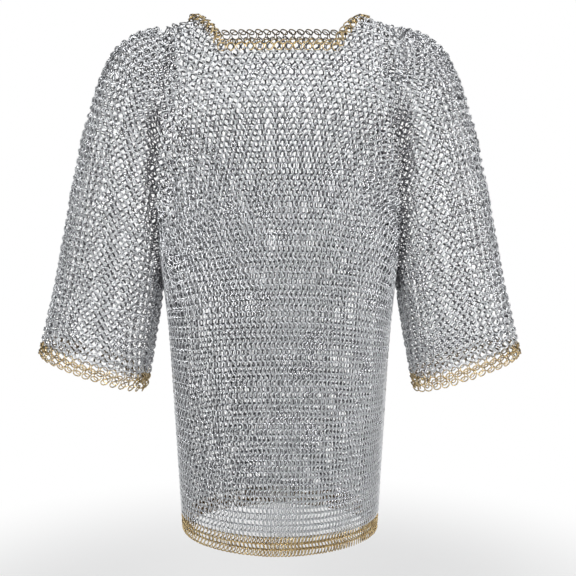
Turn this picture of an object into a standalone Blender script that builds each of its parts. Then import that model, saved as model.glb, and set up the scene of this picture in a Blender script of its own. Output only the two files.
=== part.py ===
"""A short-sleeved mail shirt, made as thin panels that stand for its fields of linked rings.

Units are metres. +X is the shirt's left sleeve as seen from the front, the front faces -Y and +Z is up.
The origin lies between the two shoulders, at the height where the shirt rests on them.
Depths are measured down from there.
"""

import math

import bmesh
import bpy
from mathutils import Matrix, Vector

# The mail's thickness, the gap between two panels, and how far every cut runs past
MAIL_THICKNESS = 0.0040
GAP = 0.0003
HALF_GAP = GAP / 2.0
TORSO_CLEARANCE = 0.0005
OVERRUN = 0.025
MERGE_DISTANCE = 0.00003

# Depths of the torso's levels below the shoulders
CHEST_DEPTH = 0.200
ARMPIT_DEPTH = 0.330
BELLY_DEPTH = 0.450
HIP_DEPTH = 0.600
SHIRT_LENGTH = 0.779
FAR = SHIRT_LENGTH

# Half widths of the torso at those levels
SHOULDER_HALF_WIDTH = 0.186
CHEST_HALF_WIDTH = 0.192
ARMPIT_HALF_WIDTH = 0.178
BELLY_HALF_WIDTH = 0.1655
HIP_HALF_WIDTH = 0.1580
HEM_HALF_WIDTH = 0.1505

# How far the torso reaches in front of and behind the shoulder line
BELLY_REACH = 0.130
FRONT_HEM_REACH = 0.116
BACK_REACH = 0.110
BACK_HEM_REACH = 0.104
BACK_ROUND_DEPTH = 0.330

# How square the torso's section is: 2 is an ellipse
CHEST_SQUARENESS = 3.5
HEM_SQUARENESS = 1.9

# The slope of the shoulders outside the neck
SHOULDER_SLOPE_SHARE = 0.34
SLOPE_START = 0.125
SLOPE_FADE_DEPTH = 0.300

# The armhole's seam, and the depth where the open sides of the upper panels end
SEAM_HALF_WIDTH = 0.1765
YOKE_DEPTH = 0.120
UPPER_DEPTH = 0.280

# The neck opening in plan, at its edge and outside its brass rows
NECK_FRONT_HALF_WIDTH = 0.0805
NECK_BACK_HALF_WIDTH = 0.0950
NECK_SIDE_HALF_WIDTH = 0.1270
NECK_FRONT_REACH = 0.0560
NECK_BACK_REACH = 0.0340
NECK_TRIM_WIDTH = 0.0150
NECK_TRIM_FRONT_PLAN = 0.0090

# The body's panels below the armholes
SIDE_PANEL_EDGE = 0.118
STRAP_EDGE = 0.100
SIDE_PANEL_UNDER_ARMPIT = 0.110
WAIST_TOP_DEPTH = ARMPIT_DEPTH + SIDE_PANEL_UNDER_ARMPIT
WAIST_END_DEPTH = 0.580
HEM_TRIM_WIDTH = 0.027

# The sleeve's upper line, from inside the shoulder to the cuff: distance out and depth
SLEEVE_TOP_LINE = (
    (0.1450, 0.0150),
    (0.2110, 0.0280),
    (0.2450, 0.0560),
    (0.2735, 0.1180),
    (0.3000, 0.2050),
    (0.3405, 0.3850),
    (0.3735, 0.5080),
)
# The sleeve's under line, from inside the armpit to the cuff
SLEEVE_UNDER_LINE = (
    (0.1400, 0.3300),
    (0.1760, 0.3860),
    (0.1870, 0.4450),
    (0.2080, 0.5650),
)
SLEEVE_HALF_DEPTH_AT_SEAM = 0.070
SLEEVE_HALF_DEPTH_AT_SHOULDER = 0.078
SLEEVE_HALF_DEPTH_AT_CUFF = 0.058
SLEEVE_BACK_SET = 0.018
SLEEVE_SQUARENESS = 2.2

# Shares of the sleeve's length where its bands begin and end
ARMHOLE_BAND_END_SHARE = 0.34
ELBOW_BAND_START_SHARE = 0.50
ELBOW_BAND_END_SHARE = 0.64
CUFF_START_SHARE = 0.945
PAST_END_SHARE = 0.05

# Joint axes: the sleeve lifts about one point and its lower half swings about another
LIFT_PIVOT_OUT = 0.1765
LIFT_PIVOT_DEPTH = 0.2000
ELBOW_PIVOT_BACK = 0.0134
WAIST_SWAY_DEPTH = 0.4750
WAIST_SWING_DEPTH = 0.5450
WAIST_SWING_FORWARD = 0.0070

# Mesh counts
AROUND_COUNT = 36
SADDLE_COUNT = 24
TUBE_LEVELS = 10
SLEEVE_AROUND_COUNT = 24
SLEEVE_LEVELS = 12
FULL_TURN = 2.0 * math.pi

# The rings' metals
STEEL_COLOUR = (0.60, 0.61, 0.63, 1.0)
BRASS_COLOUR = (0.62, 0.47, 0.26, 1.0)
METAL_ROUGHNESS = 0.35


def clear_scene():
    """Removes whatever the file holds at the start."""
    for old in list(bpy.data.objects):
        bpy.data.objects.remove(old, do_unlink=True)


def make_collection(name, shown):
    """A collection in the scene, shown in renders or not."""
    made = bpy.data.collections.new(name)
    bpy.context.scene.collection.children.link(made)
    made.hide_render = not shown
    return made


def make_metal(name, colour):
    """A panel's own plain metal."""
    metal = bpy.data.materials.new(name)
    metal.use_nodes = True
    shader = metal.node_tree.nodes["Principled BSDF"]
    shader.inputs["Base Color"].default_value = colour
    shader.inputs["Metallic"].default_value = 1.0
    shader.inputs["Roughness"].default_value = METAL_ROUGHNESS
    metal.diffuse_color = colour
    return metal


def through_points(places, values, at):
    """A smooth curve through the values at their places, read at one place, level past its ends."""
    if at <= places[0]:
        return values[0]
    if at >= places[-1]:
        return values[-1]
    last = len(places) - 1
    i = max(k for k in range(last) if places[k] <= at)

    def slope(k):
        low = max(k - 1, 0)
        high = min(k + 1, last)
        return (values[high] - values[low]) / (places[high] - places[low])

    step = places[i + 1] - places[i]
    t = (at - places[i]) / step
    rise = values[i + 1] - values[i]
    start = slope(i) * step
    end = slope(i + 1) * step
    return values[i] + t * start + t * t * (3 * rise - 2 * start - end) + t**3 * (start + end - 2 * rise)


def quarter_round(share):
    """A quarter ellipse: 0 at the start, 1 at the end, upright at the start."""
    share = min(max(share, 0.0), 1.0)
    return math.sqrt(1.0 - (1.0 - share) ** 2)


def half_width(depth):
    """The torso's half width at a depth."""
    depths = (0.0, CHEST_DEPTH, ARMPIT_DEPTH, BELLY_DEPTH, HIP_DEPTH, SHIRT_LENGTH)
    widths = (
        SHOULDER_HALF_WIDTH,
        CHEST_HALF_WIDTH,
        ARMPIT_HALF_WIDTH,
        BELLY_HALF_WIDTH,
        HIP_HALF_WIDTH,
        HEM_HALF_WIDTH,
    )
    return through_points(depths, widths, depth)


def front_reach(depth):
    """How far the front stands in front of the shoulder line."""
    if depth < BELLY_DEPTH:
        return BELLY_REACH * quarter_round(depth / BELLY_DEPTH)
    share = (depth - BELLY_DEPTH) / (SHIRT_LENGTH - BELLY_DEPTH)
    return BELLY_REACH + (FRONT_HEM_REACH - BELLY_REACH) * share * share


def back_reach(depth):
    """How far the back stands behind the shoulder line."""
    if depth < BACK_ROUND_DEPTH:
        return BACK_REACH * quarter_round(depth / BACK_ROUND_DEPTH)
    share = (depth - BACK_ROUND_DEPTH) / (SHIRT_LENGTH - BACK_ROUND_DEPTH)
    return BACK_REACH + (BACK_HEM_REACH - BACK_REACH) * share * share


def squareness(depth):
    """The section's exponent at a depth."""
    depths = (0.0, CHEST_DEPTH, SHIRT_LENGTH)
    return through_points(depths, (CHEST_SQUARENESS, CHEST_SQUARENESS, HEM_SQUARENESS), depth)


def shoulder_drop(out, depth):
    """How far the shoulder's slope lowers a point."""
    fade = max(0.0, 1.0 - depth / SLOPE_FADE_DEPTH) ** 2
    past = max(0.0, abs(out) - SLOPE_START)
    return SHOULDER_SLOPE_SHARE * past * fade


def torso_point(turn, depth, grow):
    """A point of the torso's skin. Turn 0 is the +X side and a quarter turn back is the front."""
    power = 2.0 / squareness(depth)
    across = math.cos(turn)
    forth = math.sin(turn)
    x = math.copysign(abs(across) ** power, across) * (half_width(depth) + grow)
    reach = front_reach(depth) if forth < 0 else back_reach(depth)
    y = math.copysign(abs(forth) ** power, forth) * (reach + grow)
    return Vector((x, y, -depth - shoulder_drop(x, depth)))


def depth_at(share, top, low):
    """Levels that crowd towards the crest, where the skin turns over."""
    return top + (low - top) * (1.0 - math.cos(share * math.pi / 2.0))


def line_point(line, share):
    """A point along a line of the sleeve, at a share of its length."""
    lengths = [0.0]
    for k in range(1, len(line)):
        lengths.append(lengths[-1] + math.dist(line[k - 1], line[k]))
    at = share * lengths[-1]
    return (
        through_points(lengths, [place[0] for place in line], at),
        through_points(lengths, [place[1] for place in line], at),
    )


def sleeve_point(turn, share, grow, side):
    """A point of the sleeve's skin. Turn 0 is its upper line and a half turn its under line."""
    top_out, top_depth = line_point(SLEEVE_TOP_LINE, share)
    under_out, under_depth = line_point(SLEEVE_UNDER_LINE, share)
    top = Vector((top_out, 0.0, -top_depth))
    under = Vector((under_out, 0.0, -under_depth))
    middle = (top + under) / 2.0
    reach = (top - under) / 2.0
    reach_length = reach.length + grow
    half_depth = through_points(
        (0.0, ARMHOLE_BAND_END_SHARE, 1.0),
        (SLEEVE_HALF_DEPTH_AT_SEAM, SLEEVE_HALF_DEPTH_AT_SHOULDER, SLEEVE_HALF_DEPTH_AT_CUFF),
        share,
    )
    power = 2.0 / SLEEVE_SQUARENESS
    up = math.cos(turn)
    forth = math.sin(turn)
    place = middle + reach.normalized() * reach_length * math.copysign(abs(up) ** power, up)
    place.y = math.copysign(abs(forth) ** power, forth) * (half_depth + grow) + SLEEVE_BACK_SET * share
    place.x *= side
    return place


def mapped_grid(columns, rows, place, closed, capped):
    """A grid bent into a skin: place(u, v) gives each point, and closed joins its two sides."""
    made = bmesh.new()
    bmesh.ops.create_grid(made, x_segments=columns, y_segments=rows, size=1.0)
    for vert in made.verts:
        vert.co = place((vert.co.x + 1.0) / 2.0, (vert.co.y + 1.0) / 2.0)
    if closed:
        bmesh.ops.remove_doubles(made, verts=made.verts, dist=MERGE_DISTANCE)
    bmesh.ops.dissolve_degenerate(made, edges=made.edges, dist=MERGE_DISTANCE)
    if capped:
        bmesh.ops.holes_fill(made, edges=[edge for edge in made.edges if edge.is_boundary], sides=0)
    made.normal_update()
    return made


def turn_outwards(made, middle):
    """Turns the faces away from a line of middles, given as a function of a face's centre."""
    total = 0.0
    for face in made.faces:
        centre = face.calc_center_median()
        total += face.normal.dot(centre - middle(centre))
    if total < 0.0:
        bmesh.ops.reverse_faces(made, faces=made.faces)


def upright_middle(centre):
    """The torso's own middle line, level with a face's centre."""
    return Vector((0.0, 0.0, centre.z))


def sheet_point(out, depth, back, grow):
    """A point of the torso's front or back sheet, at a distance out from the middle."""
    power = squareness(depth)
    room = max(0.0, 1.0 - abs(out / half_width(depth)) ** power) ** (1.0 / power)
    reach = back_reach(depth) if back else -front_reach(depth)
    y = (reach + math.copysign(grow, reach)) * room
    return Vector((out, y, grow - depth - shoulder_drop(out, depth)))


def saddle_place(grow, rows):
    """Where the upper torso's grid lies: u runs across, v over the shoulders from front to back."""
    low = UPPER_DEPTH + OVERRUN

    def place(u, v):
        step = round(v * rows)
        if step > SADDLE_COUNT:
            step = 0
        along = 2.0 * step / SADDLE_COUNT - 1.0
        out = (SEAM_HALF_WIDTH - GAP) * (2.0 * u - 1.0)
        point = sheet_point(out, depth_at(abs(along), 0.0, low), along > 0.0, grow)
        if round(u * SADDLE_COUNT) in (0, SADDLE_COUNT):
            point.x += math.copysign(grow, point.x)
        return point

    return place


def saddle_skin():
    """The upper torso as one open sheet: up the front, over the shoulders and down the back."""
    place = saddle_place(0.0, SADDLE_COUNT)
    made = mapped_grid(SADDLE_COUNT, SADDLE_COUNT, place, False, False)
    turn_outwards(made, lambda centre: Vector((centre.x, 0.0, -UPPER_DEPTH)))
    return made


def saddle_volume():
    """The upper torso filled in, with a gap round it: what the sleeves stop against."""
    place = saddle_place(TORSO_CLEARANCE, SADDLE_COUNT + 1)
    made = mapped_grid(SADDLE_COUNT, SADDLE_COUNT + 1, place, True, True)
    bmesh.ops.recalc_face_normals(made, faces=made.faces)
    return made


def tube_skin(grow, top, low, capped):
    """The torso below the armholes as a tube, open or filled."""

    def place(u, v):
        return torso_point(FULL_TURN * u, low + (top - low) * v, grow)

    made = mapped_grid(AROUND_COUNT, TUBE_LEVELS, place, True, capped)
    if capped:
        bmesh.ops.recalc_face_normals(made, faces=made.faces)
    else:
        turn_outwards(made, upright_middle)
    return made


def sleeve_skin(side, grow, start, end, capped):
    """A stretch of one sleeve, as a tube or as a filled volume."""

    def place(u, v):
        return sleeve_point(FULL_TURN * u, start + (end - start) * v, grow, side)

    made = mapped_grid(SLEEVE_AROUND_COUNT, SLEEVE_LEVELS, place, True, capped)
    if capped:
        bmesh.ops.recalc_face_normals(made, faces=made.faces)
    else:

        def middle(centre):
            share = min(max(-centre.z / SHIRT_LENGTH, 0.0), 1.0)
            top = sleeve_point(0.0, share, 0.0, side)
            under = sleeve_point(math.pi, share, 0.0, side)
            return (top + under) / 2.0

        turn_outwards(made, middle)
    return made


def box_mesh(low, high):
    """A box between two corners."""
    made = bmesh.new()
    bmesh.ops.create_cube(made, size=1.0)
    size = Vector(high) - Vector(low)
    middle = (Vector(high) + Vector(low)) / 2.0
    bmesh.ops.scale(made, vec=size, verts=made.verts)
    bmesh.ops.translate(made, vec=middle, verts=made.verts)
    return made


def neck_prism(margin, front_margin):
    """An upright prism in the shape of the neck opening, grown by a margin."""
    corners = (
        (NECK_SIDE_HALF_WIDTH + margin, 0.0),
        (NECK_BACK_HALF_WIDTH + margin / 2.0, NECK_BACK_REACH + front_margin),
        (-NECK_BACK_HALF_WIDTH - margin / 2.0, NECK_BACK_REACH + front_margin),
        (-NECK_SIDE_HALF_WIDTH - margin, 0.0),
        (-NECK_FRONT_HALF_WIDTH - margin / 2.0, -NECK_FRONT_REACH - front_margin),
        (NECK_FRONT_HALF_WIDTH + margin / 2.0, -NECK_FRONT_REACH - front_margin),
    )
    made = bmesh.new()
    floor = [made.verts.new((x, y, -YOKE_DEPTH - OVERRUN)) for x, y in corners]
    face = made.faces.new(floor)
    grown = bmesh.ops.extrude_face_region(made, geom=[face])
    tops = [item for item in grown["geom"] if isinstance(item, bmesh.types.BMVert)]
    bmesh.ops.translate(made, vec=(0.0, 0.0, YOKE_DEPTH + 2.0 * OVERRUN), verts=tops)
    bmesh.ops.recalc_face_normals(made, faces=made.faces)
    return made


def add_cut(piece, cutter, operation, solver="EXACT"):
    """One Boolean on a panel."""
    cut = piece.modifiers.new(operation.title(), "BOOLEAN")
    cut.operation = operation
    cut.solver = solver
    cut.object = cutter


def add_shell(piece):
    """Gives an open skin the mail's thickness, on its inner side."""
    shell = piece.modifiers.new("Thickness", "SOLIDIFY")
    shell.thickness = MAIL_THICKNESS
    shell.offset = -1.0
    shell.use_even_offset = True
    shell.use_rim = True


class Workshop:
    """Holds the collections and the skins that panels share."""

    def __init__(self):
        self.parts = make_collection("haubergeon", True)
        self.cutters = make_collection("cutters", False)
        self.meshes = {}

    def skin(self, name, made):
        """Keeps a skin's mesh, so that several panels can share it."""
        mesh = bpy.data.meshes.new(name)
        made.to_mesh(mesh)
        made.free()
        self.meshes[name] = mesh

    def cutter(self, name, made):
        """A cutter object, kept out of renders."""
        mesh = bpy.data.meshes.new(name)
        made.to_mesh(mesh)
        made.free()
        helper = bpy.data.objects.new(name, mesh)
        helper.hide_render = True
        helper.display_type = "WIRE"
        self.cutters.objects.link(helper)
        return helper

    def panel(self, name, skin, colour, kept, cuts, origin=(0.0, 0.0, 0.0)):
        """A panel: a skin with the mail's thickness, kept inside some volumes and cut by others."""
        mesh = self.meshes[skin].copy()
        mesh.name = name
        mesh.transform(Matrix.Translation(-Vector(origin)))
        mesh.materials.append(make_metal(name, colour))
        mesh.shade_smooth()
        piece = bpy.data.objects.new(name, mesh)
        piece.location = origin
        self.parts.objects.link(piece)
        add_shell(piece)
        for volume in kept:
            add_cut(piece, volume, "INTERSECT")
        for volume in cuts:
            add_cut(piece, volume, "DIFFERENCE", "MANIFOLD")
        return piece


def depth_box(shop, name, top, low, x_range=(-FAR, FAR), y_range=(-FAR, FAR)):
    """A box between two depths that keeps half a gap to each neighbour."""
    corner = (x_range[0], y_range[0], -low + HALF_GAP)
    other = (x_range[1], y_range[1], -top - HALF_GAP)
    return shop.cutter(name, box_mesh(corner, other))


def sleeve_wedge(shop, name, side, start, end):
    """The volume between two sections of a sleeve."""
    step = HALF_GAP / math.dist(SLEEVE_TOP_LINE[0], SLEEVE_TOP_LINE[-1])
    made = sleeve_skin(side, OVERRUN, start + step, end - step, True)
    return shop.cutter(name, made)


def build_torso(shop, cores):
    """The shoulder straps, yokes, chest and back, and the panels down to the waist."""
    front = (-FAR, -HALF_GAP)
    back = (HALF_GAP, FAR)
    wide = NECK_TRIM_WIDTH + GAP
    outer_neck = shop.cutter("neck_outer", neck_prism(wide, NECK_TRIM_FRONT_PLAN + GAP))
    middle = (-STRAP_EDGE + HALF_GAP, STRAP_EDGE - HALF_GAP)
    for name, y_range in (("front_yoke", front), ("back_yoke", back)):
        box = depth_box(shop, name + "_box", -OVERRUN, YOKE_DEPTH, middle, y_range)
        shop.panel(name, "saddle", STEEL_COLOUR, [box], [outer_neck])
    for side, word in ((1, "left"), (-1, "right")):
        x_range = sorted((side * (STRAP_EDGE + HALF_GAP), side * FAR))
        box = depth_box(shop, word + "_strap_box", -OVERRUN, YOKE_DEPTH, x_range)
        shop.panel(word + "_shoulder_strap", "saddle", STEEL_COLOUR, [box], [outer_neck, cores[side]])
    for name, y_range in (("chest_panel", front), ("upper_back_panel", back)):
        box = depth_box(shop, name + "_box", YOKE_DEPTH, UPPER_DEPTH, y_range=y_range)
        shop.panel(name, "saddle", STEEL_COLOUR, [box], [cores[1], cores[-1]])
    inner = (-SIDE_PANEL_EDGE + HALF_GAP, SIDE_PANEL_EDGE - HALF_GAP)
    for name, y_range in (("front_body_panel", front), ("back_body_panel", back)):
        box = depth_box(shop, name + "_box", UPPER_DEPTH, WAIST_TOP_DEPTH, inner, y_range)
        shop.panel(name, "tube", STEEL_COLOUR, [box], [])
    for side, word in ((1, "left"), (-1, "right")):
        x_range = sorted((side * (SIDE_PANEL_EDGE + HALF_GAP), side * FAR))
        box = depth_box(shop, word + "_side_box", UPPER_DEPTH, WAIST_TOP_DEPTH, x_range)
        shop.panel(word + "_side_panel", "tube", STEEL_COLOUR, [box], [cores[side]])


def build_waist(shop):
    """The waist band, which bends when the skirt swings, in two halves."""
    pivot = (0.0, 0.0, -WAIST_SWAY_DEPTH)
    for word, y_range in (("front", (-FAR, -HALF_GAP)), ("back", (HALF_GAP, FAR))):
        name = "waist_band_" + word
        box = depth_box(shop, name + "_box", WAIST_TOP_DEPTH, WAIST_END_DEPTH, y_range=y_range)
        shop.panel(name, "tube", STEEL_COLOUR, [box], [], pivot)


def build_skirt(shop):
    """The panels below the waist and the brass rows of the hem."""
    pivot = (0.0, -WAIST_SWING_FORWARD, -WAIST_SWING_DEPTH)
    trim_top = SHIRT_LENGTH - HEM_TRIM_WIDTH
    halves = (("front", (-FAR, -HALF_GAP)), ("back", (HALF_GAP, FAR)))
    inner = (-SIDE_PANEL_EDGE + HALF_GAP, SIDE_PANEL_EDGE - HALF_GAP)
    for word, y_range in halves:
        box = depth_box(shop, word + "_skirt_box", WAIST_END_DEPTH, trim_top, inner, y_range)
        shop.panel(word + "_skirt_panel", "tube", STEEL_COLOUR, [box], [], pivot)
        box = depth_box(shop, word + "_hem_box", trim_top, SHIRT_LENGTH + OVERRUN, y_range=y_range)
        shop.panel(word + "_hem_trim", "tube", BRASS_COLOUR, [box], [], pivot)
    for side, word in ((1, "left"), (-1, "right")):
        x_range = sorted((side * (SIDE_PANEL_EDGE + HALF_GAP), side * FAR))
        box = depth_box(shop, word + "_skirt_side_box", WAIST_END_DEPTH, trim_top, x_range)
        shop.panel(word + "_skirt_side", "tube", STEEL_COLOUR, [box], [], pivot)


def build_neck(shop):
    """The brass rows round the neck, as a front, a back and two sides."""
    outer = shop.cutter("neck_trim_outer", neck_prism(NECK_TRIM_WIDTH, NECK_TRIM_FRONT_PLAN))
    inner = shop.cutter("neck_hole", neck_prism(0.0, 0.0))
    front_middle = (-NECK_FRONT_HALF_WIDTH + HALF_GAP, NECK_FRONT_HALF_WIDTH - HALF_GAP)
    box = depth_box(shop, "neck_front_box", -OVERRUN, YOKE_DEPTH, front_middle, (-FAR, -HALF_GAP))
    shop.panel("neck_trim_front", "saddle", BRASS_COLOUR, [outer, box], [inner])
    box = depth_box(shop, "neck_back_box", -OVERRUN, YOKE_DEPTH, front_middle, (HALF_GAP, FAR))
    shop.panel("neck_trim_back", "saddle", BRASS_COLOUR, [outer, box], [inner])
    for side, word in ((1, "left"), (-1, "right")):
        x_range = sorted((side * (NECK_FRONT_HALF_WIDTH + HALF_GAP), side * FAR))
        box = depth_box(shop, word + "_neck_box", -OVERRUN, YOKE_DEPTH, x_range)
        shop.panel("neck_trim_" + word, "saddle", BRASS_COLOUR, [outer, box], [inner])


def elbow_pivot(side):
    """Where the sleeve's lower half swings: in the elbow band's middle, over the half's own weight."""
    share = (ELBOW_BAND_START_SHARE + ELBOW_BAND_END_SHARE) / 2.0
    top = sleeve_point(0.0, share, 0.0, side)
    under = sleeve_point(math.pi, share, 0.0, side)
    middle = (top + under) / 2.0
    middle.y = ELBOW_PIVOT_BACK
    return middle


def build_sleeve(shop, side, word, torso):
    """One sleeve, from the armhole band to the brass rows of its cuff."""
    skin = word + "_sleeve"
    shop.skin(skin, sleeve_skin(side, 0.0, 0.0, 1.0, False))
    lift = (side * LIFT_PIVOT_OUT, 0.0, -LIFT_PIVOT_DEPTH)
    swing = tuple(elbow_pivot(side))
    stretches = (
        ("armhole_band", -PAST_END_SHARE, ARMHOLE_BAND_END_SHARE, lift, STEEL_COLOUR),
        ("upper_sleeve", ARMHOLE_BAND_END_SHARE, ELBOW_BAND_START_SHARE, lift, STEEL_COLOUR),
        ("elbow_band", ELBOW_BAND_START_SHARE, ELBOW_BAND_END_SHARE, swing, STEEL_COLOUR),
        ("lower_sleeve", ELBOW_BAND_END_SHARE, CUFF_START_SHARE, swing, STEEL_COLOUR),
        ("cuff_trim", CUFF_START_SHARE, 1.0 + PAST_END_SHARE, swing, BRASS_COLOUR),
    )
    for name, start, end, origin, metal in stretches:
        wedge = sleeve_wedge(shop, word + "_" + name + "_wedge", side, start, end)
        for half, y_range in (("front", (-FAR, -HALF_GAP)), ("back", (HALF_GAP, FAR))):
            title = "_".join((word, name, half))
            box = depth_box(shop, title + "_box", -OVERRUN, SHIRT_LENGTH, y_range=y_range)
            cuts = torso if name == "armhole_band" else ()
            shop.panel(title, skin, metal, [box, wedge], cuts, origin)


def main():
    """Builds the whole shirt."""
    clear_scene()
    shop = Workshop()
    shop.skin("saddle", saddle_skin())
    shop.skin("tube", tube_skin(0.0, UPPER_DEPTH - OVERRUN, SHIRT_LENGTH, False))
    torso = (
        shop.cutter("upper_volume", saddle_volume()),
        shop.cutter("lower_volume", tube_skin(TORSO_CLEARANCE, UPPER_DEPTH - HALF_GAP, SHIRT_LENGTH, True)),
    )
    cores = {}
    for side, word in ((1, "left"), (-1, "right")):
        core = sleeve_skin(side, -MAIL_THICKNESS, 0.0, ELBOW_BAND_START_SHARE, True)
        cores[side] = shop.cutter(word + "_core", core)
    build_neck(shop)
    build_torso(shop, cores)
    build_waist(shop)
    build_skirt(shop)
    for side, word in ((1, "left"), (-1, "right")):
        build_sleeve(shop, side, word, torso)


main()
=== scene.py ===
"""A short-sleeved mail shirt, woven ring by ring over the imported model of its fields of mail.

Units are metres. The front faces -Y, +X is the sleeve on the right of a viewer who faces the front,
and +Z is up. Depths are measured down from the shoulders.
"""

import logging
import math
from dataclasses import dataclass, field, replace
from enum import Enum

import bpy
import numpy as np
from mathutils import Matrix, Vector


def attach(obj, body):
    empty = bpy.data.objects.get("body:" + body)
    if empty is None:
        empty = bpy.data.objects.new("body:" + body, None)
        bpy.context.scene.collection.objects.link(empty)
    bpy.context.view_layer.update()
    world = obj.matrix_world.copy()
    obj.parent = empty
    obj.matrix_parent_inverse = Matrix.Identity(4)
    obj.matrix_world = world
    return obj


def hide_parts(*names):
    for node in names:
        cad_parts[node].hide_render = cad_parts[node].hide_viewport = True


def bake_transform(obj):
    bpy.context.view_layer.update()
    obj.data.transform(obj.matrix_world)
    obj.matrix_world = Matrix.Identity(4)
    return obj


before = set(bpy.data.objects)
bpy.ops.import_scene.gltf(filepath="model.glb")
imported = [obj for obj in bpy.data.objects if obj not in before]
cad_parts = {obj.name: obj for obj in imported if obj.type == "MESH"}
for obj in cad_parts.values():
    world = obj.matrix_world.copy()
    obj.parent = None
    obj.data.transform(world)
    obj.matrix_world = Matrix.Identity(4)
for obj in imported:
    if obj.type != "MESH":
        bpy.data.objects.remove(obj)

LOG = logging.getLogger("haubergeon")
PAINTED_SHADE_FACING = "painted_shade_facing"
FULL_TURN = 2.0 * math.pi
SECTION_STEPS = 1441
FAR_OUT = 9.0
TINY, TINIER, TINIEST = 1e-6, 1e-9, 1e-12


class Half(Enum):
    """One half of the shirt: its word in the model's names and its sign along its axis."""

    @property
    def word(self) -> str:
        """The half's word in the names of nodes and bodies."""
        return self.value[0]

    @property
    def sign(self) -> float:
        """The half's sign along its axis."""
        return self.value[1]


class Face(Half):
    """Which sheet of the shirt, along Y."""

    FRONT = ("front", -1.0)
    BACK = ("back", 1.0)


class Side(Half):
    """Which side of the shirt, along X."""

    LEFT = ("left", 1.0)
    RIGHT = ("right", -1.0)


class Metal(Enum):
    """The two wires the shirt is made of, by their material slots."""

    STEEL = "steel_rings"
    BRASS = "brass_rings"


def ramp(values: np.ndarray, start: float | np.ndarray, width: float | np.ndarray) -> np.ndarray:
    """How far values have come from a start over a width, from 0 to 1: a negative width runs down from the start."""
    return np.clip((values - start) / width, 0.0, 1.0)


def sums(steps: np.ndarray) -> np.ndarray:
    """The sums of all steps so far, from 0."""
    return np.concatenate([[0.0], np.cumsum(steps)])


def through_points(places: np.ndarray, values: np.ndarray, at: np.ndarray) -> np.ndarray:
    """Reads a smooth curve through values at their places, level past its ends.

    Args:
        places: Increasing places of the values.
        values: The values there.
        at: Where the curve is read.

    Returns:
        The curve's values, in the shape of at.
    """
    places, values = np.asarray(places, float), np.asarray(values, float)
    last = len(places) - 1
    high = np.minimum(np.arange(last + 1) + 1, last)
    low = np.maximum(np.arange(last + 1) - 1, 0)
    slopes = (values[high] - values[low]) / (places[high] - places[low])
    span = np.clip(np.searchsorted(places, at, side="right") - 1, 0, last - 1)
    step = places[span + 1] - places[span]
    t = ramp(at, places[span], step)
    rise = values[span + 1] - values[span]
    start, end = slopes[span] * step, slopes[span + 1] * step
    return values[span] + t * start + t * t * (3 * rise - 2 * start - end) + t**3 * (start + end - 2 * rise)


def unit(vectors: np.ndarray) -> np.ndarray:
    """Vectors scaled to length 1 along their last axis."""
    return vectors / np.maximum(np.linalg.norm(vectors, axis=-1, keepdims=True), TINIEST)


def signed_power(base: np.ndarray, power: np.ndarray) -> np.ndarray:
    """A power that keeps the sign of its base."""
    return np.sign(base) * np.abs(base) ** power


@dataclass(frozen=True)
class RingStock:
    """The ring that the whole shirt is made of: a length of wire bent round until its ends butt."""

    inner_diameter: float = 0.0095
    wire_diameter: float = 0.0016
    joint_degrees: float = 2.2
    steps_round: int = 15
    steps_wire: int = 4

    @property
    def mean_radius(self) -> float:
        """The radius of the wire's middle line."""
        return (self.inner_diameter + self.wire_diameter) / 2.0

    @property
    def outer_diameter(self) -> float:
        """The ring's outer diameter."""
        return self.inner_diameter + 2.0 * self.wire_diameter

    def template(self) -> tuple[np.ndarray, np.ndarray, np.ndarray]:
        """One ring flat in its own plane, with its joint on the first axis.

        Returns:
            The corners, the way that each one faces, and the faces as rows of four corner numbers.
        """
        rounds = self.steps_round
        sides = self.steps_wire
        half_joint = math.radians(self.joint_degrees) / 2.0
        turn = np.linspace(half_joint, FULL_TURN - half_joint, rounds)
        roll = np.arange(sides) * FULL_TURN / sides + FULL_TURN / (2 * sides)
        wire = self.wire_diameter / 2.0 / math.cos(math.pi / sides) ** 0.5
        reach = self.mean_radius / math.cos(math.pi / rounds) ** 0.5 + wire * np.cos(roll)
        cos, sin = np.cos(turn)[:, None], np.sin(turn)[:, None]
        corners = np.stack(np.broadcast_arrays(cos * reach, sin * reach, (wire * np.sin(roll))[None]), axis=2)
        facing = np.stack(np.broadcast_arrays(cos * np.cos(roll), sin * np.cos(roll), np.sin(roll)[None]), axis=2)
        i, k = (number.ravel() for number in np.indices((rounds - 1, sides)))
        here, after = i * sides + k, i * sides + (k + 1) % sides
        round_faces = np.stack([here, here + sides, after + sides, after], axis=1)
        end = (rounds - 1) * sides
        faces = np.concatenate([round_faces, [(0, 1, 2, 3), (end + 3, end + 2, end + 1, end)]])
        return corners.reshape(-1, 3), facing.reshape(-1, 3), faces


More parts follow.
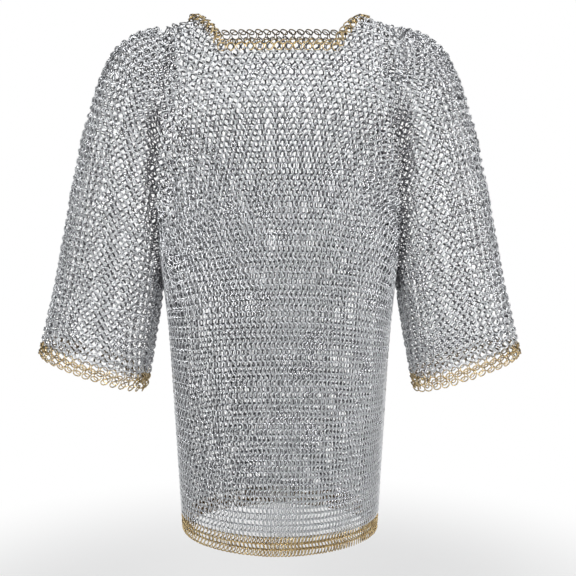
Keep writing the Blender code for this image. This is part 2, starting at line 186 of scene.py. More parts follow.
@dataclass(frozen=True)
class Weave:
    """How rings that each hold four others can stand: their pitch, their rows' spacing and their leans."""

    link: float = 0.00945
    slack_link: float = 0.0068
    closed_pitch: float = 0.0054
    open_pitch: float = 0.0134
    sideways_lean: float = 0.82
    tipping_lean: float = 0.60
    side_clearance: float = 1.02
    side_blend: float = 0.10
    row_clearance: float = 0.57
    row_blend: float = 0.05

    def step(self, pitch: np.ndarray) -> np.ndarray:
        """The spacing of the rows at which rings of this pitch hang tight."""
        return np.sqrt(np.maximum(self.link**2 - (np.minimum(pitch, self.open_pitch) / 2.0) ** 2, 0.0))

    def leans(self, pitch: np.ndarray, step: np.ndarray, outer: float) -> tuple[np.ndarray, np.ndarray]:
        """How far a ring turns sideways and how far it tips, so that it clears its neighbours.

        Args:
            pitch: Distance to the next ring in the row.
            step: Distance to the next row.
            outer: The rings' outer diameter.

        Returns:
            The sideways and the tipping part of the ring's normal.
        """
        sideways = ramp(pitch, self.side_clearance * outer, -self.side_blend * outer)
        tipping = ramp(step, self.row_clearance * outer, -self.row_blend * outer)
        least = 1.0 - np.clip(sideways + tipping, 0.0, 1.0)
        return self.sideways_lean * (sideways + least / 2.0), self.tipping_lean * (tipping + least / 2.0)


@dataclass
class Rings:
    """A set of rings: where each one is, how the mail runs there and which way its row leans."""

    centre: np.ndarray
    out: np.ndarray
    down: np.ndarray
    parity: np.ndarray
    pitch: np.ndarray
    step: np.ndarray
    row: np.ndarray
    # painted shade in the armhole's crease, from 0 to 1
    crease_shade: np.ndarray

    def where(self, kept: np.ndarray) -> "Rings":
        """The rings that a mask keeps."""
        return Rings(*(getattr(self, name)[kept] for name in self.__dataclass_fields__))

    def __len__(self) -> int:
        """How many rings there are."""
        return len(self.centre)


def join_rings(sets: list[Rings]) -> Rings:
    """Several sets of rings as one."""
    return Rings(*(np.concatenate([getattr(one, name) for one in sets]) for name in Rings.__dataclass_fields__))


@dataclass
class Skin:
    """A surface kept as a table of points, by depth or share down it and by share across it."""

    places: np.ndarray
    points: np.ndarray

    def read(self, across: np.ndarray, along: np.ndarray) -> tuple[np.ndarray, np.ndarray, np.ndarray]:
        """Points of the surface and its two tangents.

        Args:
            across: Shares across, from -1 to 1.
            along: Places down the surface.

        Returns:
            The points, the tangents across and the tangents down.
        """
        levels, columns = self.points.shape[:2]
        length = self.places[-1] - self.places[0]
        v = ramp(along, self.places[0], length) * (levels - 1)
        u = ramp(across, -1.0, 2.0) * (columns - 1)
        i, j = np.minimum(v.astype(int), levels - 2), np.minimum(u.astype(int), columns - 2)
        fv, fu = (v - i)[..., None], (u - j)[..., None]
        a, b = self.points[i, j], self.points[i, j + 1]
        c, d = self.points[i + 1, j], self.points[i + 1, j + 1]
        point = (a * (1 - fu) + b * fu) * (1 - fv) + (c * (1 - fu) + d * fu) * fv
        over = ((b - a) * (1 - fv) + (d - c) * fv) * (columns - 1) / 2.0
        under = ((c - a) * (1 - fu) + (d - b) * fu) * (levels - 1) / length
        return point, over, under


def run_lengths(line: np.ndarray) -> np.ndarray:
    """The length of a line of points up to each of them."""
    return sums(np.linalg.norm(np.diff(line, axis=0), axis=1))


def at_lengths(line: np.ndarray, lengths: np.ndarray, at: np.ndarray) -> np.ndarray:
    """Points at given lengths along a line, or other values in threes that go with its points."""
    return np.stack([np.interp(at, lengths, line[:, k]) for k in range(3)], axis=1)


def even_along(line: np.ndarray, count: int) -> np.ndarray:
    """A number of points spaced evenly along a line, with its own ends first and last."""
    lengths = run_lengths(line)
    return at_lengths(line, lengths, np.linspace(0.0, lengths[-1], count))


@dataclass
class TorsoForm:
    """The hanging shape of the body: its sections at every depth, and its neck opening."""

    length: float = 0.779
    chest_depth: float = 0.200
    armpit_depth: float = 0.330
    belly_depth: float = 0.450
    hip_depth: float = 0.600
    half_widths: tuple[float, ...] = (0.186, 0.192, 0.178, 0.1655, 0.158, 0.1505)
    belly_reach: float = 0.130
    front_hem_reach: float = 0.116
    back_reach: float = 0.110
    back_hem_reach: float = 0.104
    back_round_depth: float = 0.330
    chest_squareness: float = 3.5
    hem_squareness: float = 1.9
    slope_share: float = 0.34
    slope_start: float = 0.125
    slope_fade_depth: float = 0.300
    seam_half_width: float = 0.1765
    upper_depth: float = 0.280
    neck_front_half_width: float = 0.0805
    neck_back_half_width: float = 0.0950
    neck_side_half_width: float = 0.1270
    neck_front_reach: float = 0.0560
    neck_back_reach: float = 0.0340
    neck_trim_width: float = 0.0150
    neck_trim_plan: float = 0.0090
    mail_half_thickness: float = 0.0020
    # painted shade in the armhole's crease: the depths over which it comes in
    crease_start: float = 0.120
    crease_ramp: float = 0.060
    crest_fade: float = 0.010
    below_hem: float = 0.012
    levels: int = 260
    columns: int = 241

    def half_width(self, depth: np.ndarray) -> np.ndarray:
        """The half width at a depth."""
        depths = (0.0, self.chest_depth, self.armpit_depth, self.belly_depth, self.hip_depth, self.length)
        return through_points(depths, self.half_widths, depth)

    def reach(self, depth: np.ndarray, face: Face) -> np.ndarray:
        """How far the front or the back stands from the shoulder line.

        Args:
            depth: The depths.
            face: Which sheet.

        Returns:
            The reach at each depth.
        """
        if face is Face.FRONT:
            full, end, turn = self.belly_reach, self.front_hem_reach, self.belly_depth
        else:
            full, end, turn = self.back_reach, self.back_hem_reach, self.back_round_depth
        rise = full * np.sqrt(1.0 - (1.0 - ramp(depth, 0.0, turn)) ** 2)
        share = np.clip((depth - turn) / (self.length - turn), 0.0, None)
        return rise + (end - full) * share * share

    def squareness(self, depth: np.ndarray) -> np.ndarray:
        """How square the section is at a depth: 2 is an ellipse."""
        values = (self.chest_squareness, self.chest_squareness, self.hem_squareness)
        return through_points((0.0, self.chest_depth, self.length), values, depth)

    def shoulder_drop(self, out: np.ndarray, depth: np.ndarray) -> np.ndarray:
        """How far the shoulder's slope lowers a point."""
        fade = np.maximum(0.0, 1.0 - depth / self.slope_fade_depth) ** 2
        return self.slope_share * np.maximum(0.0, np.abs(out) - self.slope_start) * fade

    def skin(self, face: Face) -> Skin:
        """The front or the back as a table of points on the middle of the mail's thickness.

        Args:
            face: Which sheet.

        Returns:
            The sheet, by depth and by share across: -1 and 1 are its two sides.
        """
        depths = np.linspace(0.0, self.length + self.below_hem, self.levels)
        turns = np.linspace(0.0, math.pi, SECTION_STEPS)
        points = np.empty((self.levels, self.columns, 3))
        for i, depth in enumerate(depths):
            power = 2.0 / self.squareness(depth)
            width = self.half_width(depth) - self.mail_half_thickness
            reach = max(float(self.reach(depth, face)) - self.mail_half_thickness, 0.0)
            x = face.sign * signed_power(np.cos(turns), power) * width
            y = face.sign * np.abs(np.sin(turns)) ** power * reach
            z = -depth - self.shoulder_drop(x, depth)
            z = z - self.mail_half_thickness * math.exp(-depth / self.crest_fade)
            points[i] = even_along(np.stack([x, y, z], axis=1), self.columns)
        return Skin(depths, points)

    def neck_corners(self, share: float) -> np.ndarray:
        """The neck opening in plan.

        Args:
            share: By how much of its trim it is grown outwards.

        Returns:
            X and Y of its corners, anticlockwise.
        """
        margin, plan = share * self.neck_trim_width, share * self.neck_trim_plan
        side = self.neck_side_half_width + margin
        back, rear = self.neck_back_half_width + margin / 2.0, self.neck_back_reach + plan
        front, fore = self.neck_front_half_width + margin / 2.0, -self.neck_front_reach - plan
        return np.array([(side, 0.0), (back, rear), (-back, rear), (-side, 0.0), (-front, fore), (front, fore)])

    def crease_shade_by_depth(self, depth: np.ndarray) -> np.ndarray:
        """How much painted shade darkens the mail in the armhole's crease at a depth, from 0 to 1."""
        return ramp(depth, self.crease_start, self.crease_ramp)

    def in_neck(self, points: np.ndarray, share: float) -> np.ndarray:
        """Which points lie inside the neck opening, in plan.

        Args:
            points: The points.
            share: By how much of its trim the opening is grown.

        Returns:
            A mask of the points.
        """
        corners = self.neck_corners(share)
        inside = np.ones(len(points), bool)
        for a, b in zip(corners, np.roll(corners, -1, axis=0)):
            edge = b - a
            inside &= edge[0] * (points[:, 1] - a[1]) - edge[1] * (points[:, 0] - a[0]) > 0.0
        return inside & (points[:, 2] > -self.chest_depth)

    def inside(self, points: np.ndarray, grow: float) -> np.ndarray:
        """Which points lie inside the body.

        Args:
            points: The points.
            grow: The length by which its skin is grown.

        Returns:
            A mask of the points.
        """
        depth = np.clip(-points[:, 2], 0.0, self.length)
        depth = np.clip(depth - self.shoulder_drop(points[:, 0], depth), 0.0, self.length)
        power = self.squareness(depth)
        front = self.reach(depth, Face.FRONT)
        back = self.reach(depth, Face.BACK)
        reach = np.where(points[:, 1] < 0.0, front, back) + grow
        across = np.abs(points[:, 0]) / (self.half_width(depth) + grow)
        within = across**power + (np.abs(points[:, 1]) / reach) ** power < 1.0
        beside = (np.abs(points[:, 0]) < self.seam_half_width + grow) | (depth > self.upper_depth)
        return within & beside


@dataclass
class Lay:
    """Rows of rings laid over a skin, by row and column: shares across, places down, and which rings exist."""

    across: np.ndarray
    along: np.ndarray
    exists: np.ndarray


@dataclass
class Net:
    """How rows of rings hold each other, and how they settle until every link has its length."""

    weave: Weave
    rounds: int = 90
    stiffness: float = 0.38
    unrest: float = 0.0005
    least_loose: float = 0.3
    least_stretch: float = 0.05
    least_room: float = 1e-10
    side_by_side: float = 0.97

    def links(self, exists: np.ndarray) -> list[tuple[np.ndarray, np.ndarray, float, float]]:
        """Pairs of rings that hold each other or lie side by side, with their least and greatest distance.

        Args:
            exists: Which rings exist, by row and column. Odd rows lie half a pitch further across.

        Returns:
            For each family of pairs, the two rings' numbers and the two distances.
        """
        rows, columns = exists.shape
        number = np.arange(rows * columns).reshape(rows, columns)
        least, most = self.weave.slack_link, self.weave.link
        families = [(number[:, :-1], number[:, 1:], self.weave.closed_pitch * self.side_by_side, 1.0)]
        for parity in (0, 1):
            upper = np.arange(parity, rows - 1, 2)
            for shift in (-1, 0) if parity == 0 else (0, 1):
                j = np.arange(max(0, -shift), min(columns, columns - shift))
                families.append((number[upper][:, j], number[upper + 1][:, j + shift], least, most))
        made = []
        there = exists.ravel()
        for a, b, least, most in families:
            a, b = a.ravel(), b.ravel()
            both = there[a] & there[b]
            made.append((a[both], b[both], least, most))
        return made

    def settle(self, skin: Skin, lay: Lay, free: np.ndarray) -> Lay:
        """Moves the rings over the skin until no two that hold each other are too far or too near.

        Args:
            skin: The skin.
            lay: The laid rows.
            free: How freely each ring moves, from 0 to 1.

        Returns:
            The settled rows.
        """
        s, d = lay.across.ravel().copy(), lay.along.ravel().copy()
        families = self.links(lay.exists)
        ease = (free * lay.exists).ravel()[:, None]
        chance = np.random.default_rng(lay.across.size)
        _, over, under = skin.read(s, d)
        for places, tangent, loose in ((s, over, np.maximum(ease[:, 0], self.least_loose)), (d, under, ease[:, 0])):
            stretch = np.maximum(np.linalg.norm(tangent, axis=1), self.least_stretch)
            places += chance.normal(0.0, self.unrest, len(places)) / stretch * loose
        for _ in range(self.rounds):
            point, over, under = skin.read(s, d)
            push = np.zeros_like(point)
            for a, b, least, most in families:
                gap = point[b] - point[a]
                length = np.linalg.norm(gap, axis=1)
                wanted = np.clip(length, least, most)
                move = gap * ((length - wanted) / np.maximum(length, TINIER) * self.stiffness)[:, None]
                push[a] += move
                push[b] -= move
            push *= ease
            aa = (over * over).sum(1) + TINIEST
            bb = (under * under).sum(1) + TINIEST
            ab = (over * under).sum(1)
            pa, pb = (push * over).sum(1), (push * under).sum(1)
            room = np.maximum(aa * bb - ab * ab, self.least_room)
            s = np.clip(s + (pa * bb - pb * ab) / room, -1.0, 1.0)
            d = np.clip(d + (pb * aa - pa * ab) / room, skin.places[0], skin.places[-1])
        return Lay(s.reshape(lay.across.shape), d.reshape(lay.along.shape), lay.exists)

    def row_steps(self, point: np.ndarray, exists: np.ndarray) -> np.ndarray:
        """How far each ring lies from the next row, measured to halfway between the two rings that it holds.

        Args:
            point: The rings' places by row and column.
            exists: Which rings exist.

        Returns:
            The distances, or 0 where a ring holds no such pair.
        """
        rows, columns = exists.shape
        i, j = np.indices(exists.shape)
        first, second = j - 1 + i % 2, j + i % 2
        found = np.zeros(exists.shape)
        for way in (-1, 1):
            other = np.clip(i + way, 0, rows - 1)
            a, b = np.clip(first, 0, columns - 1), np.clip(second, 0, columns - 1)
            held = exists[other, a] & exists[other, b] & (other != i) & (first >= 0) & (second < columns)
            gap = np.linalg.norm((point[other, a] + point[other, b]) / 2.0 - point, axis=2)
            found = np.where(held, gap, found)
        return found

    def gather(self, skin: Skin, lay: Lay, middle: np.ndarray) -> Rings:
        """Makes rings of laid rows.

        Args:
            skin: The skin.
            lay: The laid rows.
            middle: Points that the skin's outer side faces away from, for every ring or for all.

        Returns:
            The rings, whose rows are counted from the lowest.
        """
        exists = lay.exists
        point, over, under = skin.read(lay.across, lay.along)
        out = unit(np.cross(over, under))
        out *= np.sign((out * (point - middle)).sum(2, keepdims=True) + TINIER)
        rows, columns = exists.shape
        before = np.maximum(np.arange(columns) - 1, 0)
        after = np.minimum(np.arange(columns) + 1, columns - 1)
        spread = exists[:, after] & exists[:, before]
        width = point[:, after] - point[:, before]
        down = unit(np.cross(np.where(spread[..., None], width, over), out))
        down *= np.sign((down * under).sum(2, keepdims=True) + TINIER)
        pitch = np.where(spread, np.linalg.norm(width, axis=2) / 2.0, self.weave.open_pitch)
        keep = exists.ravel()
        row = np.repeat(np.arange(rows), columns)[keep]
        pitch = pitch.ravel()[keep]
        step = self.row_steps(point, exists).ravel()[keep]
        return Rings(
            point.reshape(-1, 3)[keep],
            out.reshape(-1, 3)[keep],
            down.reshape(-1, 3)[keep],
            row % 2,
            pitch,
            np.where(step > 0.0, step, self.weave.step(pitch)),
            rows - 1 - row,
            np.zeros(len(row)),
        )


@dataclass
class BodyNet(Net):
    """The rows of rings of the body: level round the skirt, and fanned over the chest and upper back."""

    form: TorsoForm = field(default_factory=TorsoForm)
    columns: int = 72
    back_columns: int = 84
    spare_columns: int = 8
    crowd_places: tuple[float, ...] = (-1.0, -0.8, -0.55, -0.3, 0.0, 0.5, 1.0)
    crowd: tuple[float, ...] = (1.15, 1.3, 1.4, 1.25, 1.0, 0.97, 0.97)
    fan_depth: float = 0.360
    settle_depth: float = 0.420
    gather_depths: tuple[float, ...] = (0.0, 0.04, 0.10, 0.16, 0.22, 0.28, 0.36)
    front_gather: tuple[float, ...] = (1.0, 2.0, 4.9, 4.9, 4.2, 1.2, 0.3)
    back_gather: tuple[float, ...] = (2.5, 2.5, 2.6, 2.2, 1.6, 0.8, 0.2)
    bow_depths: tuple[float, ...] = (0.0, 0.04, 0.10, 0.16, 0.22, 0.28, 0.36, 0.45, 0.55, 0.66)
    front_bow: tuple[float, ...] = (2.0, 2.6, 3.8, 4.4, 4.2, 3.6, 2.4, 1.3, 0.6, 0.0)
    back_bow: tuple[float, ...] = (0.4, 0.6, 0.8, 0.8, 0.6, 0.5, 0.4, 0.3, 0.2, 0.0)
    bow_shift: float = 0.020
    shift_end: float = 0.45
    shift_fade: float = 0.2
    least_bow: float = 1e-3
    widest_turn: float = 1.4
    fan_blend: float = 0.12
    hem_overhang: float = 0.22
    back_unrest: float = 0.0022
    settle_fade: float = 0.10
    inner_depth: float = 0.300
    fine_steps: int = 780
    crowd_steps: int = 80

    def crowding(self) -> tuple[np.ndarray, np.ndarray, float]:
        """How the level rows' rings crowd together, as shares of their number against shares across.

        Returns:
            The shares of their number, the shares across, and the pitch at the middle against the mean pitch.
        """
        places = np.linspace(-1.0, 1.0, self.crowd_steps + 1)
        width = through_points(self.crowd_places, self.crowd, places)
        total = sums(0.5 / width[1:] + 0.5 / width[:-1])
        middle = float(width[self.crowd_steps // 2] * total[-1] / self.crowd_steps)
        return total / total[-1] * 2.0 - 1.0, places, middle

    def row_depths(self, skin: Skin, face: Face) -> tuple[np.ndarray, np.ndarray]:
        """The depth of each row at the sheet's middle, and the pitch of its rings there.

        Args:
            skin: The sheet that the rows lie on.
            face: Which sheet it is.

        Returns:
            The depths and the pitches, from the top row to the hem.
        """
        fine = np.linspace(0.0, self.form.length, self.fine_steps)
        _, over, under = skin.read(np.zeros(len(fine)), fine)
        stretch = np.linalg.norm(under, axis=1)
        section = 2.0 * np.linalg.norm(over, axis=1) * self.crowding()[2]
        gather = self.front_gather if face is Face.FRONT else self.back_gather
        growth = through_points(self.gather_depths, gather, fine) * (fine < self.fan_depth)
        lengths = np.cumsum((growth * stretch)[::-1])[::-1] * (fine[1] - fine[0])
        level = np.interp(self.fan_depth, fine, section)
        pitch = np.where(fine < self.fan_depth, level, section) / self.columns * np.exp(lengths)
        pitch = np.clip(pitch, self.weave.closed_pitch, self.weave.open_pitch)
        depth = self.form.length - self.weave.link * self.hem_overhang
        rows = []
        while depth > 0.0:
            at = np.interp(depth, fine, pitch)
            rows.append((depth, at))
            depth -= float(self.weave.step(at)) / np.interp(depth, fine, stretch)
        rows = np.array(rows[::-1])
        return rows[:, 0], rows[:, 1]

    def lay(self, skin: Skin, face: Face) -> Lay:
        """The first lay of the rows, before they settle.

        Args:
            skin: The sheet.
            face: Which sheet it is.

        Returns:
            The laid rows, whose places down are depths.
        """
        depths, pitches = self.row_depths(skin, face)
        rows = len(depths)
        half = self.columns / 2.0
        column = np.arange(self.columns + 2 * self.spare_columns)[None] - half - self.spare_columns
        column = column + 0.5 * (np.arange(rows)[:, None] % 2)
        bows, most_shift = (self.front_bow, self.bow_shift) if face is Face.FRONT else (self.back_bow, 0.0)
        shift = most_shift * ramp(depths, self.shift_end, -self.shift_fade)[:, None]
        bow = np.maximum(through_points(self.bow_depths, bows, depths), self.least_bow)[:, None]
        along = column * pitches[:, None] - shift
        angle = np.clip(along * bow, -self.widest_turn, self.widest_turn)
        fan = ramp(depths, self.fan_depth, -self.fan_blend)[:, None]
        x = along * (1 - fan) + np.sin(angle) / bow * fan + shift
        _, _, under = skin.read(np.zeros(rows), depths)
        drop = (1.0 - np.cos(angle)) / bow / np.linalg.norm(under, axis=1)[:, None]
        depth = depths[:, None] + drop
        _, over, _ = skin.read(np.zeros_like(depth), depth)
        share = x / np.linalg.norm(over, axis=2)
        number, places, _ = self.crowding()
        number_across = (column + np.round(np.interp(0.0, places, number) * half)) / half
        level = np.interp(number_across, number, places) + number_across - np.clip(number_across, -1.0, 1.0)
        fade = ramp(depths, self.fan_depth, self.settle_depth - self.fan_depth)[:, None]
        share = share * (1 - fade) + level * fade
        seam = share * -face.sign
        exists = (seam > -1.0 - TINY) & (seam < 1.0 - TINY) & (depth >= 0.0) & (depth <= self.form.length)
        return Lay(share, depth, exists)

    def rings(self, face: Face) -> Rings:
        """All rings of the front or the back sheet.

        Args:
            face: Which sheet.

        Returns:
            The rings.
        """
        skin = self.form.skin(face)
        back = replace(self, unrest=self.back_unrest, columns=self.back_columns, crowd=(1.0,) * len(self.crowd))
        net = self if face is Face.FRONT else back
        lay = net.lay(skin, face)
        free = ramp(lay.along, self.settle_depth + self.settle_fade, -self.settle_fade)
        return self.gather(skin, net.settle(skin, lay, free), np.array([0.0, 0.0, -self.inner_depth]))


@dataclass
class SleeveForm:
    """A sleeve's hanging shape: its upper and its under line and the depth of its section."""

    top_line: tuple[tuple[float, float], ...] = (
        (0.1450, 0.0150),
        (0.2110, 0.0280),
        (0.2450, 0.0560),
        (0.2735, 0.1180),
        (0.3000, 0.2050),
        (0.3405, 0.3850),
        (0.3735, 0.5080),
    )
    under_line: tuple[tuple[float, float], ...] = (
        (0.1400, 0.3300),
        (0.1760, 0.3860),
        (0.1870, 0.4450),
        (0.2080, 0.5650),
    )
    half_depths: tuple[float, float, float] = (0.070, 0.078, 0.058)
    armhole_end: float = 0.34
    elbow_start: float = 0.50
    elbow_end: float = 0.64
    back_set: float = 0.018
    squareness: float = 2.2
    mail_half_thickness: float = 0.0020
    levels: int = 220
    columns: int = 241
    sections: int = 240

    def line_point(self, line: tuple[tuple[float, float], ...], share: np.ndarray) -> tuple[np.ndarray, np.ndarray]:
        """Points along one of the sleeve's lines.

        Args:
            line: The line's corners, as distance out and depth.
            share: Shares of its length.

        Returns:
            The distances out and the depths.
        """
        corners = np.array(line)
        lengths = run_lengths(corners)
        at = share * lengths[-1]
        return through_points(lengths, corners[:, 0], at), through_points(lengths, corners[:, 1], at)

    def section(self, share: np.ndarray) -> tuple[np.ndarray, np.ndarray, np.ndarray, np.ndarray]:
        """The sleeve's section at a share of its length.

        Args:
            share: The share, 0 inside the shoulder and 1 at the cuff.

        Returns:
            The section's upper and under points in the XZ plane, its half depth and its set to the back.
        """
        top_out, top_depth = self.line_point(self.top_line, share)
        under_out, under_depth = self.line_point(self.under_line, share)
        half_depth = through_points((0.0, self.armhole_end, 1.0), self.half_depths, share)
        top = np.stack([top_out, -top_depth], axis=-1)
        under = np.stack([under_out, -under_depth], axis=-1)
        return top, under, half_depth, self.back_set * share

    def skin(self) -> Skin:
        """The sleeve on +X as a table of points on the middle of the mail's thickness.

        Returns:
            The sleeve, by share down it and by share round it from its upper line: -1 and 1 meet underneath.
        """
        shares = np.linspace(0.0, 1.0, self.levels)
        turns = np.linspace(-math.pi, math.pi, SECTION_STEPS)
        power = 2.0 / self.squareness
        points = np.empty((self.levels, self.columns, 3))
        for i, share in enumerate(shares):
            top, under, half_depth, back = self.section(share)
            middle = (top + under) / 2.0
            reach = np.linalg.norm(top - under) / 2.0
            way = (top - under) / 2.0 / reach
            up = signed_power(np.cos(turns), power) * (reach - self.mail_half_thickness)
            y = signed_power(np.sin(turns), power) * (half_depth - self.mail_half_thickness) + back
            ring = np.stack([middle[0] + way[0] * up, y, middle[1] + way[1] * up], axis=1)
            half, count = len(turns) // 2, self.columns // 2 + 1
            points[i] = np.concatenate([even_along(ring[: half + 1], count), even_along(ring[half:], count)[1:]])
        return Skin(shares, points)

    def place_in(self, points: np.ndarray) -> tuple[np.ndarray, np.ndarray]:
        """How far down the sleeve points lie, and how far out from its middle: under 1 is inside.

        Args:
            points: Points of either sleeve.

        Returns:
            Their shares of the sleeve's length, and their distance from its middle as a share of its section.
        """
        shares = np.linspace(0.0, 1.0, self.sections)
        top, under, half_depth, back = self.section(shares)
        flat = np.stack([np.abs(points[:, 0]), points[:, 2]], axis=1)
        way = under - top
        offset = flat[:, None] - top[None]
        turned = way[None, :, 0] * offset[:, :, 1] - way[None, :, 1] * offset[:, :, 0]
        crossings = (turned[:, :-1] > 0.0) != (turned[:, 1:] > 0.0)
        nearest = np.argmax(crossings, axis=1)
        middle = (top + under)[nearest] / 2.0
        reach = np.linalg.norm(way, axis=1)[nearest] / 2.0
        up = np.linalg.norm(flat - middle, axis=1) / reach
        forth = np.abs(points[:, 1] - back[nearest]) / half_depth[nearest]
        size = (up**self.squareness + forth**self.squareness) ** (1.0 / self.squareness)
        return shares[nearest], np.where(crossings.any(axis=1), size, FAR_OUT)


@dataclass
class SleeveNet(Net):
    """The rows of rings of a sleeve, level with its cuff, with its columns along its upper line."""

    form: SleeveForm = field(default_factory=SleeveForm)
    rows: int = 90
    half_columns: int = 40
    pitch: float = 0.0125
    cuff_pitch: float = 0.0143
    cuff_rows: float = 5.0
    step_link: float = 0.00912
    edge: float = 0.0022
    back_slack: float = 0.22
    slack_ramp: float = 0.25
    seam_margin: float = 0.3
    rounds: int = 40
    unrest: float = 0.0013

    def lay(self, skin: Skin) -> Lay:
        """The first lay of the rows, each as far from the cuff as its number says.

        Args:
            skin: The sleeve's skin.

        Returns:
            The laid rows.
        """
        grid = np.linspace(-1.0, 1.0, skin.points.shape[1])
        lengths = np.linalg.norm(np.diff(skin.points, axis=0), axis=2)
        from_cuff = np.concatenate([np.cumsum(lengths[::-1], axis=0)[::-1], np.zeros((1, len(grid)))])
        numbers = np.arange(self.rows)
        pitches = self.pitch + (self.cuff_pitch - self.pitch) * np.exp(-numbers / self.cuff_rows)
        steps = np.sqrt(self.step_link**2 - (pitches / 2.0) ** 2)
        distances = self.edge + sums(steps[:-1])
        columns = np.arange(-self.half_columns, self.half_columns + 1)
        across = np.zeros((self.rows, len(columns)))
        along = np.zeros_like(across)
        exists = np.zeros(across.shape, bool)
        for i, (distance, pitch) in enumerate(zip(distances, pitches)):
            share = np.array([np.interp(distance, line[::-1], skin.places[::-1]) for line in from_cuff.T])
            point, _, _ = skin.read(grid, share)
            closed = 1.0 - self.back_slack * ramp(grid, 0.0, self.slack_ramp)
            width = np.linalg.norm(np.diff(point, axis=0), axis=1) / (closed[1:] + closed[:-1]) * 2.0
            count = sums(width) / pitch
            count -= count[len(grid) // 2]
            wanted = columns + 0.5 * (i % 2)
            across[i] = np.interp(wanted, count, grid)
            along[i] = np.interp(across[i], grid, share)
            reach = np.interp(across[i], grid, from_cuff[0])
            within = (wanted > count[0] + self.seam_margin) & (wanted < count[-1] - self.seam_margin)
            exists[i] = within & (reach > distance)
        return Lay(across[::-1], along[::-1], exists[::-1])

    def rings(self, side: Side) -> Rings:
        """All rings of one sleeve.

        Args:
            side: Which sleeve.

        Returns:
            The rings.
        """
        skin = self.form.skin()
        free = ramp(np.arange(self.rows), self.rows - 1, -self.cuff_rows)[:, None]
        lay = self.settle(skin, self.lay(skin), free)
        top, low, _, back = self.form.section(lay.along)
        middle = np.stack([(top + low)[..., 0] / 2.0, back, (top + low)[..., 1] / 2.0], axis=-1)
        rings = self.gather(skin, lay, middle)
        mirror = np.array([side.sign, 1.0, 1.0])
        return replace(rings, centre=rings.centre * mirror, out=rings.out * mirror, down=rings.down * mirror)


@dataclass
class NeckNet:
    """The two brass rows that edge the neck opening."""

    form: TorsoForm
    weave: Weave
    row_shares: tuple[float, float] = (0.04, 0.44)
    pitch: float = 0.0128
    deepest: float = 0.15
    halvings: int = 40
    corrections: int = 3
    outline_step: float = 0.02
    least_slope: float = 1e-3
    middle: tuple[float, float] = (0.0, -0.01)

    def on_skin(self, plan: np.ndarray, skins: dict[Face, Skin]) -> tuple[np.ndarray, np.ndarray]:
        """Drops points given in plan onto the body's skin.

        Args:
            plan: X and Y of each point.
            skins: The front and the back sheet.

        Returns:
            The points on the skin and its outward normals there.
        """
        points = np.empty((len(plan), 3))
        normals = np.empty((len(plan), 3))
        for face, wanted in ((Face.FRONT, plan[:, 1] <= 0.0), (Face.BACK, plan[:, 1] > 0.0)):
            skin = skins[face]
            x, y = plan[wanted, 0], np.abs(plan[wanted, 1])
            low, high = np.zeros(len(x)), np.full(len(x), self.deepest)
            share = np.zeros(len(x))
            for _ in range(self.halvings):
                depth = (low + high) / 2.0
                for _ in range(self.corrections):
                    point, over, _ = skin.read(share, depth)
                    slope = np.where(np.abs(over[:, 0]) < self.least_slope, self.least_slope, over[:, 0])
                    share = np.clip(share + (x - point[:, 0]) / slope, -1, 1)
                point, over, under = skin.read(share, depth)
                short = face.sign * point[:, 1] < y
                low = np.where(short, depth, low)
                high = np.where(short, high, depth)
            points[wanted] = point
            normal = unit(np.cross(over, under))
            normals[wanted] = normal * np.sign(normal[:, 2:3] + TINY)
        return points, normals

    def rings(self, skins: dict[Face, Skin]) -> Rings:
        """All rings of the neck's edge.

        Args:
            skins: The front and the back sheet.

        Returns:
            The rings.
        """
        made = []
        count = 0
        for number, share in enumerate(self.row_shares):
            corners = self.form.neck_corners(share)
            outline = []
            for a, b in zip(corners, np.roll(corners, -1, axis=0)):
                outline += [a + (b - a) * t for t in np.arange(0.0, 1.0, self.outline_step)]
            line, normal = (np.concatenate([found, found[:1]]) for found in self.on_skin(np.array(outline), skins))
            lengths = run_lengths(line)
            if number == 0:
                count = int(round(lengths[-1] / self.pitch))
            at = (np.arange(count) + 0.5 * number) / count * lengths[-1]
            centre = at_lengths(line, lengths, at)
            out = unit(at_lengths(normal, lengths, at))
            along = unit(np.roll(centre, -1, axis=0) - np.roll(centre, 1, axis=0))
            down = unit(np.cross(along, out))
            away = centre * np.array([1.0, 1.0, 0.0]) - np.array([*self.middle, 0.0])
            down *= np.sign((down * away).sum(1, keepdims=True) + TINIER)
            pitch = np.full(count, lengths[-1] / count)
            row = np.full(count, number)
            made.append(Rings(centre, out, down, row, pitch, self.weave.step(pitch), row, np.zeros(count)))
        return join_rings(made)


